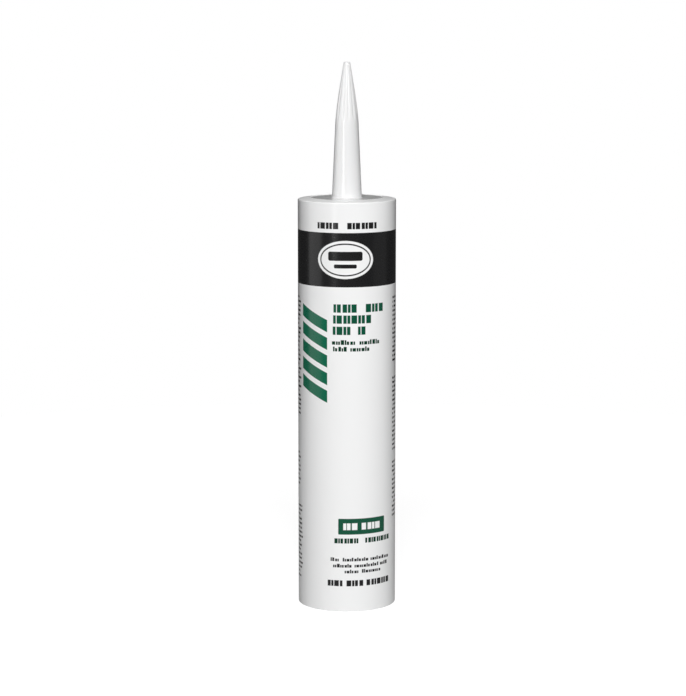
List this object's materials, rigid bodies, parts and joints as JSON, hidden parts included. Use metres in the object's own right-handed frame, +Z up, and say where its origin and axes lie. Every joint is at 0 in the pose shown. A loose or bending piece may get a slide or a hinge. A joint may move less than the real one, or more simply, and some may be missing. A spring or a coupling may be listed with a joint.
{
  "type": "caulk tube",
  "caption": "White caulk cartridge for a caulking gun: printed tube with a turned-in shoulder, tapered fluted nozzle, inner foil seal, sealant fill and sliding plunger.",
  "frame": {"origin": "centre of the tube's open base rim, on the surface it stands on", "axes": "+Z up the tube's axis towards the nozzle tip; the label's front faces -Y, and +X is to its right"},
  "size_m": [0.05, 0.05, 0.2782],
  "materials": {
    "tube_plastic": "gloss",
    "nozzle_plastic": "satin",
    "foil": "satin",
    "sealant_paste": "satin",
    "plunger_plastic": "matte"
  },
  "bodies": {
    "cartridge": {"cartridge_tube": "tube_plastic", "nozzle": "nozzle_plastic", "foil_seal": "foil", "sealant": "sealant_paste"},
    "plunger": {"plunger": "plunger_plastic"}
  },
  "joints": [
    {"name": "plunger_slide", "type": "slide", "parent": "cartridge", "child": "plunger", "axis": [0, 0, 1], "range_m": [0, 0.1724], "deforming": ["sealant"]}
  ]
}
